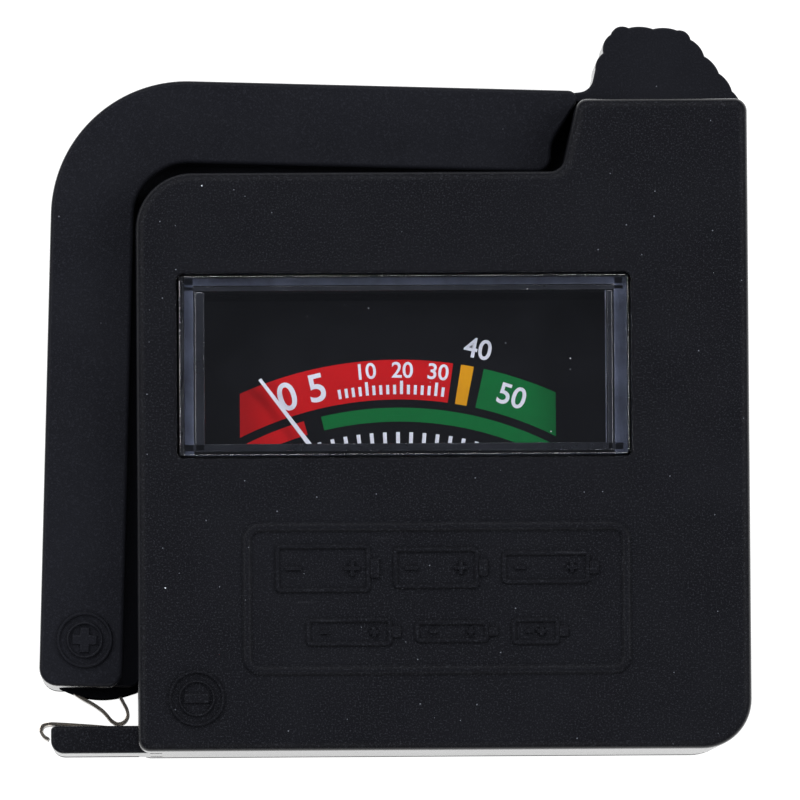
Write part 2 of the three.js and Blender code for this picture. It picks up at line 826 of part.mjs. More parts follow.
const tester = new THREE.Group();
tester.position.set(-CASE_WIDTH / 2, -CASE_HEIGHT / 2, 0);

tester.add(mesh("front_cover", frontCover(), black));
tester.add(mesh("back_cover", backCover(), black));
CASE_SCREWS.forEach(({ x, y }, i) => {
  tester.add(mesh(`case_screw_${i + 1}`, screw(x, y, CASE_SCREW_SEAT - 0.05, 12), steel));
});
const pinProfile = [
  [0, 2.5],
  [PIN_RADIUS - 0.3, 2.5],
  [PIN_RADIUS, 2.8],
  [PIN_RADIUS, 21.8],
  [PIN_RADIUS - 0.3, 22.1],
  [0, 22.1],
];
tester.add(mesh("arm_pivot_pin", turned(pinProfile, PIVOT.x, PIVOT.y, ROUND_SIDES), steel));
tester.add(mesh("minus_contact", minusContact(), nickel));
tester.add(mesh("contact_9v_minus", snapContact(0), nickel));
tester.add(mesh("contact_9v_plus", snapContact(1), nickel));

const jaw = new THREE.Group();
jaw.position.set(PIVOT.x, PIVOT.y, 0);
jaw.rotation.z = -REST_OPENING;
tester.add(jaw);
const wholeJaw = jawBody();
jaw.add(mesh("arm_front_shell", armFrontShell(wholeJaw), jawBlack));
jaw.add(mesh("arm_back_shell", armBackShell(wholeJaw), jawBlack));
ARM_SCREWS.forEach(({ x, y }, i) => {
  jaw.add(mesh(`arm_screw_${i + 1}`, screw(x, y, ARM_SCREW_SEAT - 0.05, 10), steel));
});
jaw.add(mesh("plus_contact", plusContact(), nickel));
jaw.add(mesh("arm_lead", armLead(), redWire));
jaw.add(mesh("return_spring", returnSpring(), steel));

tester.add(mesh("window_lens", windowLens(), clear));
tester.add(mesh("dial_plate", dialPlate(), printed));
tester.add(mesh("meter_base", meterBase(), darkMoulding));
tester.add(mesh("pole_ring", poleRing(), iron));
tester.add(mesh("core_magnet", coreMagnet(), iron));
tester.add(mesh("front_bridge", frontBridge(), brass));
tester.add(mesh("jewel_screw_front", jewelScrewFront(), brass));
tester.add(mesh("jewel_screw_rear", jewelScrewRear(), brass));
tester.add(mesh("meter_terminal_minus", meterTerminal(11), nickel));
tester.add(mesh("meter_terminal_plus", meterTerminal(16), nickel));

const movement = new THREE.Group();
movement.position.set(METER.x, METER.y, 0);
movement.rotation.z = NEEDLE_REST;
tester.add(movement);
movement.add(mesh("needle", needle(), white));
movement.add(mesh("coil_former", coilLoop(5.6, 5.1, 6.4, 14.4, 0.5, 1.1), nickel));
movement.add(mesh("coil_winding", coilLoop(6.3, 5.7, 6.1, 14.7, 0.25, 0.9), copper));
movement.add(mesh("shaft_front", shaft(14.8, 16.35, 0.35), steel));
movement.add(mesh("shaft_rear", shaft(6, 4.95, 0.35), steel));
movement.add(mesh("hairspring_front", hairspring(15.2), brass));
movement.add(mesh("hairspring_rear", hairspring(5.5), brass));

tester.add(mesh("circuit_board", circuitBoard(), laminate));
LOAD_RESISTORS.forEach(({ x, y }, i) => {
  const resistor = mesh(`load_resistor_${i + 1}`, loadResistor(), resistorBody);
  resistor.position.set(x, y, RESISTOR.height);
  tester.add(resistor);
});
tester.add(mesh("lead_plus", leadPlus(), redWire));
tester.add(mesh("lead_minus", leadMinus(), blackWire));

const frame = new THREE.Group();
frame.add(tester);
export default frame;
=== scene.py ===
"""Looks of a pocket battery tester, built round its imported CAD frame.

Shapes are drawn in millimetres. Those of the case start at the case's lower left corner on its back
face, those of the jaw at the jaw's pivot, and those of the needle at the meter's axis.
"""

import json
import math

import bmesh
import bpy
from mathutils import Matrix, Vector


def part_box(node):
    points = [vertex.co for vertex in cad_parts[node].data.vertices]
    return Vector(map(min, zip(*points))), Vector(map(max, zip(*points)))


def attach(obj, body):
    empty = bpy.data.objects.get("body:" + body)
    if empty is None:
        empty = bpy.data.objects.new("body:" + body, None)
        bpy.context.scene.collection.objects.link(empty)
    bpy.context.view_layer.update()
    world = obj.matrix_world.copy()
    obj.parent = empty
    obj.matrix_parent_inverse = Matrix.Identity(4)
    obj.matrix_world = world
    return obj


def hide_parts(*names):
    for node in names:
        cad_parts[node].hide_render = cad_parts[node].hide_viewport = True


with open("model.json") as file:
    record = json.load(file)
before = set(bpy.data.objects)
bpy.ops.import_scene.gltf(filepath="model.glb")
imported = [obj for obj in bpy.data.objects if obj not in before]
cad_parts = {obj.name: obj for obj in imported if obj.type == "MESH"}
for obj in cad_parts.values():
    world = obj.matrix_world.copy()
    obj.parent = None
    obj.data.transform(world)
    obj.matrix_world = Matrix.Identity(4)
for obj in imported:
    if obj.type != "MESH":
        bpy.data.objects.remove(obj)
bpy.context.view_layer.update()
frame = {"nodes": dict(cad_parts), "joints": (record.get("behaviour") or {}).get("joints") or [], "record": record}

MM = 0.001
JOINTS = {joint["name"]: joint for joint in frame["joints"]}

# Case, from the frame's own boxes.
BACK_LOW, BACK_HIGH = (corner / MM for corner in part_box("back_cover"))
FRONT_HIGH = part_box("front_cover")[1] / MM
CASE_WIDTH = 52.0
CASE_HEIGHT = 49.1
CORNER_X = BACK_HIGH.x - CASE_WIDTH
CORNER_Y = BACK_LOW.y
BUMP_TOP = BACK_HIGH.y - CORNER_Y
RIDGE = 0.3
CASE_FRONT = FRONT_HIGH.z - RIDGE
PARTING = 12.1
PARTING_GAP = 0.04
PLATE = 1.8
WALL = 1.6
EDGE = 0.85
SLOT_BACK = 7.1
SLOT_FRONT = 16.9
CHAMBER_LEFT = 2.0
CHAMBER_TOP = 45.1
CHAMBER_WALL = 1.4
LIP_LENGTH = CORNER_X - BACK_LOW.x
LIP_HEIGHT = 2.35
LIP_BACK = 5.0
LIP_FRONT = 19.0

# Jaw.
PIVOT = Vector(JOINTS["arm_swing"]["pos_m"]) / MM
REST_OPENING = math.radians(1.7)
HUB_RADIUS = 4.6
PIN_RADIUS = 1.5
JAW_LEFT = -51.0
JAW_RIGHT = -43.9
JAW_TOP = 6.1
JAW_UNDERSIDE = -0.95
JAW_BOTTOM = -45.75
JAW_SWEEP = 8.45
JAW_EDGE = 0.38
BELLY_REACH = 2.6
JAW_BACK = 3.7
JAW_FRONT = 20.3
CORE_BACK = 7.5
CORE_FRONT = 16.5

# Meter.
METER = Vector(JOINTS["needle_swing"]["pos_m"]) / MM
NEEDLE_REST = math.radians(37)
LENS_LOW, LENS_HIGH = (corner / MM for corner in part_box("window_lens"))
WINDOW_BOTTOM = 25.0
DIAL_LOW, DIAL_HIGH = (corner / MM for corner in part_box("dial_plate"))

ROUND_STEPS = 5


# Places.


def case_place():
    return Matrix.Translation((CORNER_X, CORNER_Y, 0))


def jaw_place():
    return Matrix.Translation((PIVOT.x, PIVOT.y, 0)) @ Matrix.Rotation(-REST_OPENING, 4, "Z")


def needle_place():
    return Matrix.Translation((METER.x, METER.y, 0)) @ Matrix.Rotation(NEEDLE_REST, 4, "Z")


# Outlines.


def outline(corners):
    """Points round a closed outline whose corners are (x, y, radius, steps)."""
    points = []
    for i, (x, y, radius, steps) in enumerate(corners):
        corner = Vector((x, y))
        before = Vector(corners[i - 1][:2])
        after = Vector(corners[(i + 1) % len(corners)][:2])
        arriving = (corner - before).normalized()
        leaving = (after - corner).normalized()
        turn = arriving.angle_signed(leaving) * -1
        side = math.copysign(1, turn)
        radius = max(radius, 0.03)
        start = corner - arriving * radius * math.tan(abs(turn) / 2)
        centre = start + Vector((-arriving.y, arriving.x)) * side * radius
        for step in range(steps + 1):
            spoke = start - centre
            spoke.rotate(Matrix.Rotation(turn * step / steps, 2))
            points.append(centre + spoke)
    return points


def rectangle(left, bottom, right, top, radius, steps=6):
    corners = [(left, bottom), (right, bottom), (right, top), (left, top)]
    return outline([(x, y, radius, steps) for x, y in corners])


def cross_outline(x, y, reach, half_width):
    """The twelve corners of an upright cross."""
    points = []
    for turn in range(4):
        quarter = Matrix.Rotation(math.pi / 2 * turn, 2)
        for corner in ((reach, -half_width), (reach, half_width), (half_width, half_width)):
            point = Vector(corner)
            point.rotate(quarter)
            points.append(Vector((x, y)) + point)
    return points


def circle(x, y, radius, sides=32):
    spokes = (2 * math.pi * i / sides for i in range(sides))
    return [Vector((x + radius * math.cos(a), y + radius * math.sin(a))) for a in spokes]


def case_outline(inset):
    right = CASE_WIDTH - inset
    return outline(
        [
            (inset, inset, 1.0 - inset, 8),
            (right, inset, 4.2 - inset, 16),
            (right, BUMP_TOP - inset, 1.1 - inset, 8),
            (37.6 + inset, BUMP_TOP - inset, 1.0 - inset, 8),
            (36.2 + inset, CASE_HEIGHT - inset, 1.3 + inset, 8),
            (inset, CASE_HEIGHT - inset, 4.8 - inset, 16),
        ]
    )


def chamber_outline(inset):
    left = CHAMBER_LEFT + inset
    right = CASE_WIDTH - inset
    top = CHAMBER_TOP - inset
    return outline(
        [
            (left, inset, 0, 2),
            (right, inset, 4.2 - inset, 12),
            (right, top, 0.3, 4),
            (left, top, 3 - inset, 10),
        ]
    )


def jaw_raised_outline(inset):
    left, right = JAW_LEFT + inset, JAW_RIGHT - inset
    bottom, underside, top = JAW_BOTTOM + inset, JAW_UNDERSIDE + inset, JAW_TOP - inset
    near = -JAW_SWEEP - inset
    end = -math.sqrt(JAW_SWEEP**2 - JAW_TOP**2) - inset
    return outline(
        [
            (left, bottom, 1.5 - inset, 8),
            (right, bottom, 1.3 - inset, 8),
            (right, underside, 4.6 + inset, 16),
            (near, underside, 1.2 - inset, 8),
            (near, underside + 2.4, 3 - inset, 8),
            (end, top, 0.75 - inset, 6),
            (left, top, 11.6 - inset, 40),
        ]
    )


def jaw_core_outline(inset):
    left = JAW_LEFT + 0.5 + inset
    right = JAW_RIGHT + 1.5 - inset
    top = JAW_TOP - 0.4 - inset
    return outline(
        [
            (left, JAW_BOTTOM + 0.3 + inset, 1.2 - inset, 8),
            (right, JAW_BOTTOM + 0.1 + inset, 1 - inset, 6),
            (right, -3.9 + inset, 3.2 + inset, 12),
            (-3.5, -3.9 + inset, 0.3, 2),
            (-3.5, top, 0.3, 2),
            (left, top, 11.1 - inset, 36),
        ]
    )


def belly_outline(inset):
    """The shallow bulge round the mouth of the jaw's contact."""
    left, right = JAW_LEFT + 0.9 + inset, JAW_RIGHT + 1.4 - inset
    bottom, top = JAW_BOTTOM - 1.3 + inset, JAW_BOTTOM + 1.2 - inset
    return outline(
        [
            (left, JAW_BOTTOM + 0.3, 0, 1),
            (-46.0, bottom, 7 - inset, 14),
            (right, JAW_BOTTOM - 0.1, 0.4, 3),
            (right, top, 0, 1),
            (left, top, 0, 1),
        ]
    )


# The tab's ribs lie between these points, from its right foot over the top to its left flank.
TAB_VALLEYS = [
    (7.9, 5.2),
    (7.05, 6.7),
    (5.9, 8.2),
    (4.6, 9.65),
    (3.4, 11.05),
    (2.2, 11.83),
    (0.15, 11.89),
    (-1.95, 11.93),
    (-3.5, 11.3),
    (-4.1, 9.7),
    (-4.7, 8.0),
]
TAB_RIBS = (0.17, 0.18, 0.18, 0.2, 0.3, 0.16, 0.16, 0.4, 0.27, 0.27)


def tab_outline(inset):
    """The thumb tab, whose flanks and top are a row of small round ribs."""
    points = [Vector((HUB_RADIUS - inset, 0.5)), Vector((7.5 - inset, 4.3))]
    for start, end, rise in zip(TAB_VALLEYS, TAB_VALLEYS[1:], TAB_RIBS):
        start, end = Vector(start), Vector(end)
        out = Vector((end.y - start.y, start.x - end.x)).normalized()
        for step in range(8):
            share = step / 8
            swell = rise * math.sin(math.pi * share) ** 0.8
            points.append(start.lerp(end, share) + out * (swell - inset))
    foot = JAW_TOP + 0.3 - inset
    fillet = outline(
        [
            (-4.7 + inset, 8.0, 0, 1),
            (-5.2 + inset, foot, 1.3, 10),
            (-8.0, foot - 0.35, 0, 1),
            (-8.2, 3, 0, 1),
        ]
    )
    return points + fillet[2:]


# Mesh building.


class Body:
    """A mesh under construction, in millimetres."""

    def __init__(self):
        self.bm = bmesh.new()

    def ring(self, points, z):
        return [self.bm.verts.new((p[0], p[1], z)) for p in points]

    def bridge(self, lower, upper):
        count = len(lower)
        for i in range(count):
            j = (i + 1) % count
            self.bm.faces.new((lower[i], lower[j], upper[j], upper[i]))

    def cap(self, *rings):
        edges = []
        for ring in rings:
            for a, b in zip(ring, ring[1:] + ring[:1]):
                edges.append(self.bm.edges.get((a, b)) or self.bm.edges.new((a, b)))
        bmesh.ops.triangle_fill(self.bm, use_beauty=True, use_dissolve=True, edges=edges)

    def stack(self, outline_at, profile):
        """Rings of outline_at(inset) at each (inset, z), joined in order."""
        rings = [self.ring(outline_at(inset), z) for inset, z in profile]
        for lower, upper in zip(rings, rings[1:]):
            self.bridge(lower, upper)
        return rings

    def slab(self, outline_at, low, high, edge_low=0.0, edge_high=0.0, wells=()):
        """A closed slab with rounded edges, and wells (x, y, radius, floor) sunk in its low face."""
        rings = self.stack(outline_at, round_profile(low, high, edge_low, edge_high))
        mouths = [self.well(x, y, radius, low, floor) for x, y, radius, floor in wells]
        self.cap(rings[0], *mouths)
        self.cap(rings[-1])

    def well(self, x, y, radius, mouth, floor):
        """The wall and floor of a round well, whose mouth is returned."""
        chamfer = math.copysign(0.12, floor - mouth)
        profile = [(-0.12, mouth), (0, mouth + chamfer), (0, floor)]
        rings = self.stack(lambda inset: circle(x, y, radius - inset, 32), profile)
        self.cap(rings[-1])
        return rings[0]

    def block(self, low, high, edge=0.1):
        def at(inset):
            left, bottom, right, top = low[0] + inset, low[1] + inset, high[0] - inset, high[1] - inset
            return rectangle(left, bottom, right, top, edge - inset, 3)

        self.slab(at, low[2], high[2], edge, edge)

    def recessed_head(self, x, y, radius, low, high):
        """A screw head whose low face has a cross recess."""
        profile = round_profile(low, high, 0.35, 0.05)
        rings = self.stack(lambda inset: circle(x, y, radius - inset, 32), profile)
        cross = self.ring(cross_outline(x, y, 0.95, 0.17), low)
        floor = self.ring(cross_outline(x, y, 0.5, 0.12), low + 0.6)
        self.cap(rings[0], cross)
        self.bridge(cross, floor)
        self.cap(floor)
        self.cap(rings[-1])

    def post(self, x, y, radius, low, high, edge=0.1, sides=32):
        self.slab(lambda inset: circle(x, y, radius - inset, sides), low, high, edge, edge)

    def tube(self, outer_at, inner_at, low, high, edge=0.1):
        outer = self.stack(outer_at, round_profile(low, high, edge, edge))
        inner = self.stack(inner_at, [(-i, z) for i, z in round_profile(low, high, edge, edge)])
        self.cap(outer[0], inner[0])
        self.cap(outer[-1], inner[-1])

    def ridge(self, outline_at, width, base, height):
        """A moulded bead of the given width whose outer edge follows outline_at(0)."""
        profile = [(0, base), (width * 0.12, base + height * 0.62), (width * 0.3, base + height * 0.95)]
        profile += [(width * 0.5, base + height)]
        profile += [(width - inset, z) for inset, z in reversed(profile[:-1])]
        rings = self.stack(outline_at, profile)
        self.bridge(rings[-1], rings[0])

    def finish(self, name, place, smooth_angle=35):
        bmesh.ops.remove_doubles(self.bm, verts=self.bm.verts, dist=1e-5)
        bmesh.ops.recalc_face_normals(self.bm, faces=self.bm.faces)
        self.bm.transform(Matrix.Scale(MM, 4) @ place)
        mesh = bpy.data.meshes.new(name)
        self.bm.to_mesh(mesh)
        self.bm.free()
        return make_object(name, mesh, smooth_angle)


def round_profile(low, high, edge_low, edge_high):
    """(inset, z) pairs up a wall whose two edges are rounded."""
    profile = []
    for edge, z, sign in ((edge_low, low, 1), (edge_high, high, -1)):
        steps = ROUND_STEPS if edge > 0 else 0
        part = []
        for step in range(steps + 1):
            angle = math.pi / 2 * step / max(steps, 1)
            part.append((edge * (1 - math.sin(angle)), z + sign * edge * (1 - math.cos(angle))))
        profile += part if sign > 0 else list(reversed(part))
    return profile


def make_object(name, mesh, smooth_angle=35):
    obj = bpy.data.objects.new(name, mesh)
    bpy.context.scene.collection.objects.link(obj)
    mesh.shade_smooth()
    mesh.set_sharp_from_angle(angle=math.radians(smooth_angle))
    normals = obj.modifiers.new("normals", "WEIGHTED_NORMAL")
    normals.keep_sharp = True
    return obj


def smooth_line(points, steps=8):
    """A Catmull-Rom line through 2D points."""
    line = []
    count = len(points)
    for i in range(count - 1):
        p0, p1 = Vector(points[max(i - 1, 0)]), Vector(points[i])
        p2, p3 = Vector(points[i + 1]), Vector(points[min(i + 2, count - 1)])
        for step in range(steps):
            t = step / steps
            square = (2 * p0 - 5 * p1 + 4 * p2 - p3) * t**2
            cube = (3 * p1 - p0 - 3 * p2 + p3) * t**3
            line.append(0.5 * ((2 * p1) + (p2 - p0) * t + square + cube))
    line.append(Vector(points[-1]))
    return line


def strip_outline(points, thickness):
    line = smooth_line(points)
    left, right = [], []
    for i, point in enumerate(line):
        along = (line[min(i + 1, len(line) - 1)] - line[max(i - 1, 0)]).normalized()
        side = Vector((-along.y, along.x)) * thickness / 2
        left.append(point + side)
        right.append(point - side)
    return left + right[::-1]


# Materials.


class Look:
    """A node material with a Principled shader, built up feature by feature."""

    def __init__(self, name, color, roughness, metallic=0.0):
        self.material = bpy.data.materials.new(name)
        self.material.use_nodes = True
        self.tree = self.material.node_tree
        self.shader = self.tree.nodes["Principled BSDF"]
        self.shader.inputs["Base Color"].default_value = (*color, 1)
        self.shader.inputs["Roughness"].default_value = roughness
        self.shader.inputs["Metallic"].default_value = metallic
        self.coords = self.node("ShaderNodeTexCoord").outputs["Object"]
        self.height = None

    def node(self, kind, **settings):
        made = self.tree.nodes.new(kind)
        for key, value in settings.items():
            setattr(made, key, value)
        return made

    def link(self, source, target):
        self.tree.links.new(source, target)

    def noise(self, size, detail=4.0, stretch=(1, 1, 1), roughness=0.55):
        """Noise whose features are about size millimetres across."""
        mapping = self.node("ShaderNodeMapping")
        mapping.inputs["Scale"].default_value = [s / (size * MM) for s in stretch]
        self.link(self.coords, mapping.inputs["Vector"])
        made = self.node("ShaderNodeTexNoise")
        made.inputs["Scale"].default_value = 1.0
        made.inputs["Detail"].default_value = detail
        made.inputs["Roughness"].default_value = roughness
        self.link(mapping.outputs["Vector"], made.inputs["Vector"])
        return made.outputs["Fac"]

    def ramp(self, source, low, high, first=0.0, last=1.0):
        made = self.node("ShaderNodeMapRange")
        made.inputs["From Min"].default_value = low
        made.inputs["From Max"].default_value = high
        made.inputs["To Min"].default_value = first
        made.inputs["To Max"].default_value = last
        self.link(source, made.inputs["Value"])
        return made.outputs["Result"]

    def math(self, operation, a, b):
        made = self.node("ShaderNodeMath", operation=operation)
        for socket, value in zip(made.inputs, (a, b)):
            if isinstance(value, (int, float)):
                socket.default_value = value
            else:
                self.link(value, socket)
        return made.outputs[0]

    def tint(self, factor, color):
        """Mixes color over what the base colour is so far."""
        target = self.shader.inputs["Base Color"]
        mix = self.node("ShaderNodeMix", data_type="RGBA")
        if target.is_linked:
            self.link(target.links[0].from_socket, mix.inputs["A"])
        else:
            mix.inputs["A"].default_value = target.default_value
        mix.inputs["B"].default_value = (*color, 1)
        self.link(factor, mix.inputs["Factor"])
        self.link(mix.outputs["Result"], target)

    def vary_roughness(self, factor, low, high):
        self.link(self.ramp(factor, 0.3, 0.7, low, high), self.shader.inputs["Roughness"])

    def polish_sides(self, roughness, side_roughness, side_gloss, rim, rim_left=-100):
        """Faces along the mould's draw are glossier, save in a matt rim of the given height.

        The rim starts at z 0, and at the lip's back where x is under rim_left.
        """
        split = self.node("ShaderNodeSeparateXYZ")
        self.link(self.node("ShaderNodeTexCoord").outputs["Normal"], split.inputs["Vector"])
        facing = self.math("ABSOLUTE", split.outputs["Z"], 0)
        place = self.node("ShaderNodeSeparateXYZ")
        self.link(self.coords, place.inputs["Vector"])
        beside = self.math("LESS_THAN", place.outputs["X"], rim_left * MM)
        depth = self.math("SUBTRACT", place.outputs["Z"], self.math("MULTIPLY", beside, LIP_BACK * MM))
        above_rim = self.ramp(depth, rim * MM, (rim + 0.6) * MM)
        across = self.ramp(facing, 0.2, 0.72)
        mix = self.node("ShaderNodeMix", data_type="FLOAT")
        self.link(across, mix.inputs["Factor"])
        mix.inputs["A"].default_value = side_roughness
        patches = self.ramp(self.noise(5, detail=5), 0.3, 0.7, roughness - 0.05, roughness + 0.06)
        self.link(patches, mix.inputs["B"])
        self.link(mix.outputs["Result"], self.shader.inputs["Roughness"])
        gloss = self.math("MULTIPLY", self.ramp(across, 0.0, 1.0, side_gloss, 0.02), above_rim)
        self.link(gloss, self.shader.inputs["Specular IOR Level"])
        return across

    def raise_by(self, source, depth):
        """Adds source times depth millimetres to the surface height."""
        scaled = self.math("MULTIPLY", source, depth)
        self.height = scaled if self.height is None else self.math("ADD", self.height, scaled)

    def specks(self, spacing, size, share, seed):
        """Isolated round specks: about share of the cells of the given spacing hold one."""
        mapping = self.node("ShaderNodeMapping")
        mapping.inputs["Scale"].default_value = [1 / (spacing * MM)] * 3
        mapping.inputs["Location"].default_value = (seed, seed * 2.3, seed * 0.7)
        self.link(self.coords, mapping.inputs["Vector"])
        cells = self.node("ShaderNodeTexVoronoi")
        cells.inputs["Scale"].default_value = 1.0
        self.link(mapping.outputs["Vector"], cells.inputs["Vector"])
        near = self.math("LESS_THAN", cells.outputs["Distance"], size / spacing)
        split = self.node("ShaderNodeSeparateColor")
        self.link(cells.outputs["Color"], split.inputs["Color"])
        chosen = self.math("LESS_THAN", split.outputs[0], share)
        return self.math("MULTIPLY", near, chosen)

    def done(self):
        if self.height is not None:
            bump = self.node("ShaderNodeBump")
            bump.inputs["Distance"].default_value = MM
            self.link(self.height, bump.inputs["Height"])
            self.link(bump.outputs["Normal"], self.shader.inputs["Normal"])
        return self.material


def case_plastic():
    look = Look("case_plastic", (0.0026, 0.0027, 0.0036), 0.45)
    across = look.polish_sides(0.45, 0.18, 0.42, 3.2, CORNER_X)
    grain = look.noise(0.17, detail=3)
    look.raise_by(look.math("MULTIPLY", grain, across), 0.03)
    look.raise_by(look.noise(2.6, detail=2), 0.008)
    look.tint(look.ramp(look.noise(0.14, detail=2), 0.54, 0.7, 0, 0.9), (0.0105, 0.0112, 0.0138))
    look.tint(look.ramp(look.noise(9, detail=4), 0.4, 0.7, 0, 0.35), (0.0045, 0.0048, 0.0062))
    scratch = look.ramp(look.noise(1.1, detail=2, stretch=(0.12, 1.6, 1)), 0.74, 0.8, 0, 0.3)
    look.tint(scratch, (0.012, 0.0125, 0.015))
    look.tint(look.specks(1.2, 0.06, 0.4, 3.1), (0.05, 0.054, 0.064))
    look.tint(look.specks(3.1, 0.075, 0.2, 7.7), (0.25, 0.27, 0.3))
    return look.done()


def jaw_plastic(name, rim):
    look = Look(name, (0.0036, 0.0038, 0.0051), 0.45)
    across = look.polish_sides(0.45, 0.2, 0.42, rim)
    grain = look.noise(0.15, detail=3)
    look.raise_by(look.math("MULTIPLY", grain, across), 0.016)
    look.raise_by(look.noise(4, detail=2), 0.01)
    look.tint(look.ramp(grain, 0.52, 0.72, 0, 0.8), (0.0085, 0.009, 0.0118))
    look.tint(look.ramp(look.noise(11, detail=4), 0.4, 0.7, 0, 0.35), (0.006, 0.0064, 0.0085))
    look.tint(look.specks(1.9, 0.06, 0.25, 5.3), (0.05, 0.053, 0.063))
    look.tint(look.specks(4.5, 0.085, 0.16, 9.1), (0.22, 0.24, 0.27))
    return look.done()


def dark_moulding():
    look = Look("dark_moulding", (0.012, 0.012, 0.014), 0.5)
    look.raise_by(look.noise(0.3), 0.01)
    look.vary_roughness(look.noise(3), 0.45, 0.6)
    look.tint(look.ramp(look.noise(5), 0.45, 0.7, 0, 0.4), (0.02, 0.02, 0.023))
    return look.done()


def metal(name, color, worn, roughness, brushed=(1, 1, 14)):
    look = Look(name, color, roughness, 1.0)
    streaks = look.noise(0.9, detail=6, stretch=brushed)
    look.vary_roughness(streaks, roughness * 0.75, roughness * 1.35)
    look.tint(look.ramp(look.noise(1.6, detail=5), 0.45, 0.7, 0, 0.7), worn)
    look.raise_by(streaks, 0.004)
    return look.done()


def printed(name, color, worn):
    look = Look(name, color, 0.42)
    look.shader.inputs["Specular IOR Level"].default_value = 0.08
    look.tint(look.ramp(look.noise(0.5, detail=5), 0.5, 0.75, 0, 0.35), worn)
    look.vary_roughness(look.noise(0.8), 0.36, 0.5)
    look.raise_by(look.noise(0.12, detail=2), 0.003)
    return look.done()


def soft_insulation(name, color):
    look = Look(name, color, 0.45)
    look.raise_by(look.noise(0.5), 0.01)
    look.tint(look.ramp(look.noise(2), 0.45, 0.7, 0, 0.3), [c * 1.6 + 0.01 for c in color])
    look.vary_roughness(look.noise(1.2), 0.4, 0.55)
    return look.done()


def board_laminate():
    look = Look("board_laminate", (0.3, 0.17, 0.06), 0.55)
    look.tint(look.ramp(look.noise(0.25, stretch=(1, 6, 1)), 0.4, 0.65, 0, 0.5), (0.2, 0.11, 0.04))
    look.tint(look.specks(2.2, 0.5, 0.5, 1.3), (0.55, 0.55, 0.5))
    look.vary_roughness(look.noise(1), 0.45, 0.65)
    look.raise_by(look.noise(0.2), 0.006)
    return look.done()


def resistor_ceramic():
    look = Look("resistor_ceramic", (0.55, 0.42, 0.26), 0.4)
    split = look.node("ShaderNodeSeparateXYZ")
    look.link(look.coords, split.inputs["Vector"])
    turns = look.math("MULTIPLY", split.outputs["Y"], 1 / (1.3 * MM))
    stripe = look.math("GREATER_THAN", look.math("FRACT", turns, 0), 0.7)
    look.tint(stripe, (0.16, 0.05, 0.02))
    look.tint(look.ramp(look.noise(0.7), 0.45, 0.7, 0, 0.4), (0.4, 0.3, 0.18))
    look.raise_by(look.noise(0.2), 0.006)
    return look.done()


def see_through(name, tint, veil_color, veil, gloss_roughness, dust=0.0):
    """Clear moulding: what is behind shows, under a thin veil of veil_color and a Fresnel gloss."""
    look = Look(name, veil_color, 0.3)
    clear = look.node("ShaderNodeBsdfTransparent")
    clear.inputs["Color"].default_value = (*tint, 1)
    haze = look.ramp(look.noise(3, detail=4), 0.35, 0.7, veil * 0.7, min(veil * 1.3, 1))
    if dust:
        specks = look.math("MULTIPLY", look.specks(1.7, 0.06, 0.3, 2.9), dust)
        haze = look.math("MAXIMUM", haze, specks)
        look.tint(look.ramp(specks, 0, 0.1), (0.3, 0.31, 0.34))
    body = look.node("ShaderNodeMixShader")
    look.link(haze, body.inputs[0])
    look.link(clear.outputs[0], body.inputs[1])
    look.link(look.shader.outputs[0], body.inputs[2])
    gloss = look.node("ShaderNodeBsdfGlossy")
    gloss.inputs["Roughness"].default_value = gloss_roughness
    fresnel = look.node("ShaderNodeFresnel")
    fresnel.inputs["IOR"].default_value = 1.4
    whole = look.node("ShaderNodeMixShader")
    look.link(fresnel.outputs[0], whole.inputs[0])
    look.link(body.outputs[0], whole.inputs[1])
    look.link(gloss.outputs[0], whole.inputs[2])
    look.link(whole.outputs[0], look.tree.nodes["Material Output"].inputs["Surface"])
    return look.material


LOOKS = {
    "case": case_plastic(),
    "jaw": jaw_plastic("jaw_plastic", 6.2),
    "jaw_matt": jaw_plastic("jaw_matt", 100),
    "moulding": dark_moulding(),
    "steel": metal("zinc_steel", (0.45, 0.45, 0.47), (0.3, 0.29, 0.28), 0.35),
    "nickel": metal("nickel_strip", (0.36, 0.32, 0.27), (0.2, 0.16, 0.12), 0.26),
    "brass": metal("brass", (0.55, 0.38, 0.14), (0.35, 0.22, 0.08), 0.3),
    "iron": metal("soft_iron", (0.13, 0.13, 0.14), (0.08, 0.07, 0.065), 0.5),
    "copper": metal("enamelled_copper", (0.45, 0.15, 0.05), (0.3, 0.09, 0.03), 0.3, (1, 1, 40)),
    "dial": printed("dial_black", (0.003, 0.003, 0.004), (0.006, 0.006, 0.008)),
    "red": printed("print_red", (0.6, 0.006, 0.008), (0.55, 0.008, 0.01)),
    "yellow": printed("print_yellow", (0.78, 0.34, 0.006), (0.7, 0.3, 0.01)),
    "green": printed("print_green", (0.003, 0.15, 0.034), (0.004, 0.12, 0.03)),
    "white": printed("print_white", (0.85, 0.85, 0.92), (0.7, 0.7, 0.78)),
    "laminate": board_laminate(),
    "resistor": resistor_ceramic(),
    "red_wire": soft_insulation("red_insulation", (0.4, 0.015, 0.012)),
    "black_wire": soft_insulation("black_insulation", (0.012, 0.012, 0.014)),
    "clear": see_through("clear_front", (0.97, 0.98, 1.0), (0.02, 0.022, 0.03), 0.03, 0.05, 0.7),
    "clear_dark": see_through("clear_dark", (0.2, 0.22, 0.27), (0.012, 0.013, 0.018), 0.85, 0.1),
    # Painted glints: a pale bluish clear material for the strips that stand in for light caught along the window
    # walls.
    "clear_painted_glint": see_through("clear_painted_glint", (0.3, 0.33, 0.42), (0.075, 0.085, 0.125), 0.72, 0.1),
}


def dress(obj, look, body, slot, *nodes):
    """Gives a piece its look and its body, and hides the nodes it stands for; the slot is not used."""
    obj.data.materials.append(LOOKS[look])
    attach(obj, body)
    if nodes:
        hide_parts(*nodes)
    return obj


# Case.


